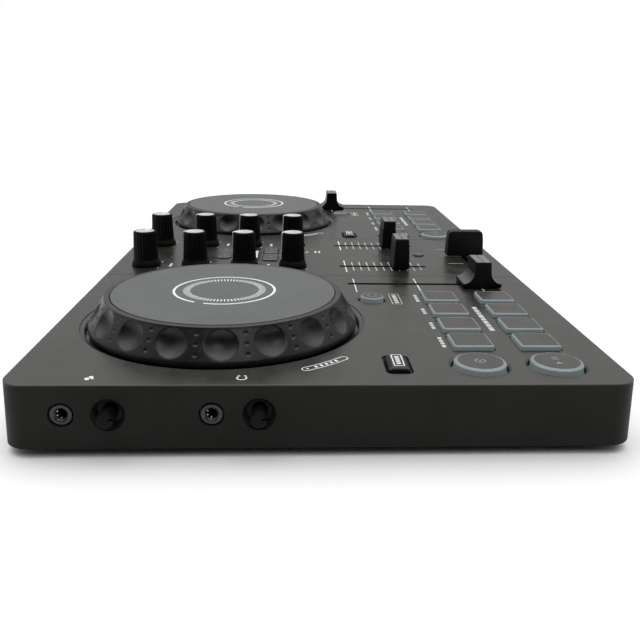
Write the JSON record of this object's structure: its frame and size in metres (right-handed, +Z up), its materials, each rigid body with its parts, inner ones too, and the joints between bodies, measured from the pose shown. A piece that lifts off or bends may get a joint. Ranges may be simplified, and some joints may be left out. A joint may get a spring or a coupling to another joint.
{
  "type": "dj controller",
  "caption": "Flat DJ controller: dimpled jog wheels, square pads, round transport keys, sliding faders and tall mixer knobs on a thin dark case.",
  "frame": {"origin": "centre of the whole object in plan, on the surface that the feet stand on", "axes": "+X to the performer's right, +Y to the back with the rear sockets, +Z up"},
  "size_m": [0.3796, 0.2166, 0.0433],
  "materials": {
    "case_plastic": "fine-grained satin black moulding, warm dark grey in the light",
    "cover_plastic": "textured black moulding",
    "rubber": "matte black",
    "steel": "plated steel",
    "board": "green solder mask",
    "component_black": "moulded black",
    "brass": "gold-plated contact",
    "jog_black": "semi-gloss black skirt",
    "jog_plate": "grey satin disc with printed rings",
    "knob_rubber": "soft-touch black with a white pointer",
    "cap_plastic": "satin black with a pale centre line",
    "button_clear": "smoky translucent edge around a grey printed top",
    "button_black": "black with a pale printed outline"
  },
  "bodies": {
    "case": {"top_case": "case_plastic", "bottom_cover": "cover_plastic", "rubber_feet": "rubber", "case_screws": "steel", "main_pcb": "board", "control_boards": "board", "key_switches": "steel", "knob_pots": "steel", "fader_units": "steel", "jog_spindles": "steel", "side_jacks": "component_black", "usb_port": "steel", "rca_sockets": "brass"},
    "jog_left": {"jog_ring_left": "jog_black", "jog_plate_left": "jog_plate"},
    "jog_right": {"jog_ring_right": "jog_black", "jog_plate_right": "jog_plate"},
    "shift_button_left": {"shift_button_left": "button_black"},
    "sync_button_left": {"sync_button_left": "button_clear"},
    "cue_button_left": {"cue_button_left": "button_clear"},
    "play_button_left": {"play_button_left": "button_clear"},
    "pad_left_1": {"pad_left_1": "button_clear"},
    "pad_left_2": {"pad_left_2": "button_clear"},
    "pad_left_3": {"pad_left_3": "button_clear"},
    "pad_left_4": {"pad_left_4": "button_clear"},
    "pad_left_5": {"pad_left_5": "button_clear"},
    "pad_left_6": {"pad_left_6": "button_clear"},
    "pad_left_7": {"pad_left_7": "button_clear"},
    "pad_left_8": {"pad_left_8": "button_clear"},
    "shift_button_right": {"shift_button_right": "button_black"},
    "sync_button_right": {"sync_button_right": "button_clear"},
    "cue_button_right": {"cue_button_right": "button_clear"},
    "play_button_right": {"play_button_right": "button_clear"},
    "pad_right_1": {"pad_right_1": "button_clear"},
    "pad_right_2": {"pad_right_2": "button_clear"},
    "pad_right_3": {"pad_right_3": "button_clear"},
    "pad_right_4": {"pad_right_4": "button_clear"},
    "pad_right_5": {"pad_right_5": "button_clear"},
    "pad_right_6": {"pad_right_6": "button_clear"},
    "pad_right_7": {"pad_right_7": "button_clear"},
    "pad_right_8": {"pad_right_8": "button_clear"},
    "load_button_left": {"load_button_left": "button_clear"},
    "load_button_right": {"load_button_right": "button_clear"},
    "browse_button": {"browse_button": "button_clear"},
    "monitor_button": {"monitor_button": "button_clear"},
    "tempo_cap_left": {"tempo_cap_left": "cap_plastic"},
    "tempo_cap_right": {"tempo_cap_right": "cap_plastic"},
    "channel_cap_left": {"channel_cap_left": "cap_plastic"},
    "channel_cap_right": {"channel_cap_right": "cap_plastic"},
    "crossfader_cap": {"crossfader_cap": "cap_plastic"},
    "knob_left_1": {"knob_left_1": "knob_rubber"},
    "knob_left_2": {"knob_left_2": "knob_rubber"},
    "knob_left_3": {"knob_left_3": "knob_rubber"},
    "knob_left_4": {"knob_left_4": "knob_rubber"},
    "knob_right_1": {"knob_right_1": "knob_rubber"},
    "knob_right_2": {"knob_right_2": "knob_rubber"},
    "knob_right_3": {"knob_right_3": "knob_rubber"},
    "knob_right_4": {"knob_right_4": "knob_rubber"},
    "mic_level_knob": {"mic_level_knob": "knob_rubber"},
    "phones_level_knob": {"phones_level_knob": "knob_rubber"}
  },
  "joints": [
    {"name": "jog_spin_left", "type": "hinge", "parent": "case", "child": "jog_left", "pos_m": [-0.11501, 0.0348, 0.03], "axis": [0, 0, 1], "continuous": true},
    {"name": "jog_spin_right", "type": "hinge", "parent": "case", "child": "jog_right", "pos_m": [0.11299, 0.0348, 0.03], "axis": [0, 0, 1], "continuous": true},
    {"name": "shift_button_left_press", "type": "slide", "parent": "case", "child": "shift_button_left", "axis": [0, 0, -1], "range_m": [0, 0.001], "stiffness_N_per_m": 400, "springref_m": -0.0008},
    {"name": "sync_button_left_press", "type": "slide", "parent": "case", "child": "sync_button_left", "axis": [0, 0, -1], "range_m": [0, 0.001], "stiffness_N_per_m": 400, "springref_m": -0.0008},
    {"name": "cue_button_left_press", "type": "slide", "parent": "case", "child": "cue_button_left", "axis": [0, 0, -1], "range_m": [0, 0.001], "stiffness_N_per_m": 400, "springref_m": -0.0008},
    {"name": "play_button_left_press", "type": "slide", "parent": "case", "child": "play_button_left", "axis": [0, 0, -1], "range_m": [0, 0.001], "stiffness_N_per_m": 400, "springref_m": -0.0008},
    {"name": "pad_left_1_press", "type": "slide", "parent": "case", "child": "pad_left_1", "axis": [0, 0, -1], "range_m": [0, 0.001], "stiffness_N_per_m": 400, "springref_m": -0.0008},
    {"name": "pad_left_2_press", "type": "slide", "parent": "case", "child": "pad_left_2", "axis": [0, 0, -1], "range_m": [0, 0.001], "stiffness_N_per_m": 400, "springref_m": -0.0008},
    {"name": "pad_left_3_press", "type": "slide", "parent": "case", "child": "pad_left_3", "axis": [0, 0, -1], "range_m": [0, 0.001], "stiffness_N_per_m": 400, "springref_m": -0.0008},
    {"name": "pad_left_4_press", "type": "slide", "parent": "case", "child": "pad_left_4", "axis": [0, 0, -1], "range_m": [0, 0.001], "stiffness_N_per_m": 400, "springref_m": -0.0008},
    {"name": "pad_left_5_press", "type": "slide", "parent": "case", "child": "pad_left_5", "axis": [0, 0, -1], "range_m": [0, 0.001], "stiffness_N_per_m": 400, "springref_m": -0.0008},
    {"name": "pad_left_6_press", "type": "slide", "parent": "case", "child": "pad_left_6", "axis": [0, 0, -1], "range_m": [0, 0.001], "stiffness_N_per_m": 400, "springref_m": -0.0008},
    {"name": "pad_left_7_press", "type": "slide", "parent": "case", "child": "pad_left_7", "axis": [0, 0, -1], "range_m": [0, 0.001], "stiffness_N_per_m": 400, "springref_m": -0.0008},
    {"name": "pad_left_8_press", "type": "slide", "parent": "case", "child": "pad_left_8", "axis": [0, 0, -1], "range_m": [0, 0.001], "stiffness_N_per_m": 400, "springref_m": -0.0008},
    {"name": "shift_button_right_press", "type": "slide", "parent": "case", "child": "shift_button_right", "axis": [0, 0, -1], "range_m": [0, 0.001], "stiffness_N_per_m": 400, "springref_m": -0.0008},
    {"name": "sync_button_right_press", "type": "slide", "parent": "case", "child": "sync_button_right", "axis": [0, 0, -1], "range_m": [0, 0.001], "stiffness_N_per_m": 400, "springref_m": -0.0008},
    {"name": "cue_button_right_press", "type": "slide", "parent": "case", "child": "cue_button_right", "axis": [0, 0, -1], "range_m": [0, 0.001], "stiffness_N_per_m": 400, "springref_m": -0.0008},
    {"name": "play_button_right_press", "type": "slide", "parent": "case", "child": "play_button_right", "axis": [0, 0, -1], "range_m": [0, 0.001], "stiffness_N_per_m": 400, "springref_m": -0.0008},
    {"name": "pad_right_1_press", "type": "slide", "parent": "case", "child": "pad_right_1", "axis": [0, 0, -1], "range_m": [0, 0.001], "stiffness_N_per_m": 400, "springref_m": -0.0008},
    {"name": "pad_right_2_press", "type": "slide", "parent": "case", "child": "pad_right_2", "axis": [0, 0, -1], "range_m": [0, 0.001], "stiffness_N_per_m": 400, "springref_m": -0.0008},
    {"name": "pad_right_3_press", "type": "slide", "parent": "case", "child": "pad_right_3", "axis": [0, 0, -1], "range_m": [0, 0.001], "stiffness_N_per_m": 400, "springref_m": -0.0008},
    {"name": "pad_right_4_press", "type": "slide", "parent": "case", "child": "pad_right_4", "axis": [0, 0, -1], "range_m": [0, 0.001], "stiffness_N_per_m": 400, "springref_m": -0.0008},
    {"name": "pad_right_5_press", "type": "slide", "parent": "case", "child": "pad_right_5", "axis": [0, 0, -1], "range_m": [0, 0.001], "stiffness_N_per_m": 400, "springref_m": -0.0008},
    {"name": "pad_right_6_press", "type": "slide", "parent": "case", "child": "pad_right_6", "axis": [0, 0, -1], "range_m": [0, 0.001], "stiffness_N_per_m": 400, "springref_m": -0.0008},
    {"name": "pad_right_7_press", "type": "slide", "parent": "case", "child": "pad_right_7", "axis": [0, 0, -1], "range_m": [0, 0.001], "stiffness_N_per_m": 400, "springref_m": -0.0008},
    {"name": "pad_right_8_press", "type": "slide", "parent": "case", "child": "pad_right_8", "axis": [0, 0, -1], "range_m": [0, 0.001], "stiffness_N_per_m": 400, "springref_m": -0.0008},
    {"name": "load_button_left_press", "type": "slide", "parent": "case", "child": "load_button_left", "axis": [0, 0, -1], "range_m": [0, 0.001], "stiffness_N_per_m": 400, "springref_m": -0.0008},
    {"name": "load_button_right_press", "type": "slide", "parent": "case", "child": "load_button_right", "axis": [0, 0, -1], "range_m": [0, 0.001], "stiffness_N_per_m": 400, "springref_m": -0.0008},
    {"name": "browse_button_press", "type": "slide", "parent": "case", "child": "browse_button", "axis": [0, 0, -1], "range_m": [0, 0.001], "stiffness_N_per_m": 400, "springref_m": -0.0008},
    {"name": "monitor_button_press", "type": "slide", "parent": "case", "child": "monitor_button", "axis": [0, 0, -1], "range_m": [0, 0.001], "stiffness_N_per_m": 400, "springref_m": -0.0008},
    {"name": "tempo_slide_left", "type": "slide", "parent": "case", "child": "tempo_cap_left", "axis": [0, 1, 0], "range_m": [0, 0.061]},
    {"name": "tempo_slide_right", "type": "slide", "parent": "case", "child": "tempo_cap_right", "axis": [0, 1, 0], "range_m": [-0.061, 0]},
    {"name": "channel_slide_left", "type": "slide", "parent": "case", "child": "channel_cap_left", "axis": [0, 1, 0], "range_m": [-0.011, 0.029]},
    {"name": "channel_slide_right", "type": "slide", "parent": "case", "child": "channel_cap_right", "axis": [0, 1, 0], "range_m": [-0.011, 0.029]},
    {"name": "crossfader_slide", "type": "slide", "parent": "case", "child": "crossfader_cap", "axis": [1, 0, 0], "range_m": [-0.0228, 0.0222]},
    {"name": "knob_left_1_turn", "type": "hinge", "parent": "case", "child": "knob_left_1", "pos_m": [-0.02381, 0.0073, 0.035], "axis": [0, 0, 1], "range_deg": [-150, 150]},
    {"name": "knob_left_2_turn", "type": "hinge", "parent": "case", "child": "knob_left_2", "pos_m": [-0.02381, 0.0329, 0.035], "axis": [0, 0, 1], "range_deg": [-150, 150]},
    {"name": "knob_left_3_turn", "type": "hinge", "parent": "case", "child": "knob_left_3", "pos_m": [-0.02381, 0.0585, 0.035], "axis": [0, 0, 1], "range_deg": [-150, 150]},
    {"name": "knob_left_4_turn", "type": "hinge", "parent": "case", "child": "knob_left_4", "pos_m": [-0.02381, 0.0841, 0.035], "axis": [0, 0, 1], "range_deg": [-45, 255]},
    {"name": "knob_right_1_turn", "type": "hinge", "parent": "case", "child": "knob_right_1", "pos_m": [0.02819, 0.0073, 0.035], "axis": [0, 0, 1], "range_deg": [-150, 150]},
    {"name": "knob_right_2_turn", "type": "hinge", "parent": "case", "child": "knob_right_2", "pos_m": [0.02819, 0.0329, 0.035], "axis": [0, 0, 1], "range_deg": [-150, 150]},
    {"name": "knob_right_3_turn", "type": "hinge", "parent": "case", "child": "knob_right_3", "pos_m": [0.02819, 0.0585, 0.035], "axis": [0, 0, 1], "range_deg": [-150, 150]},
    {"name": "knob_right_4_turn", "type": "hinge", "parent": "case", "child": "knob_right_4", "pos_m": [0.02819, 0.0841, 0.035], "axis": [0, 0, 1], "range_deg": [-45, 255]},
    {"name": "mic_level_knob_turn", "type": "hinge", "parent": "case", "child": "mic_level_knob", "pos_m": [-0.18509, 0.066, 0.0149], "axis": [-1, 0, 0], "range_deg": [-45, 255]},
    {"name": "phones_level_knob_turn", "type": "hinge", "parent": "case", "child": "phones_level_knob", "pos_m": [-0.18509, 0.0179, 0.0149], "axis": [-1, 0, 0], "range_deg": [-45, 255]}
  ]
}
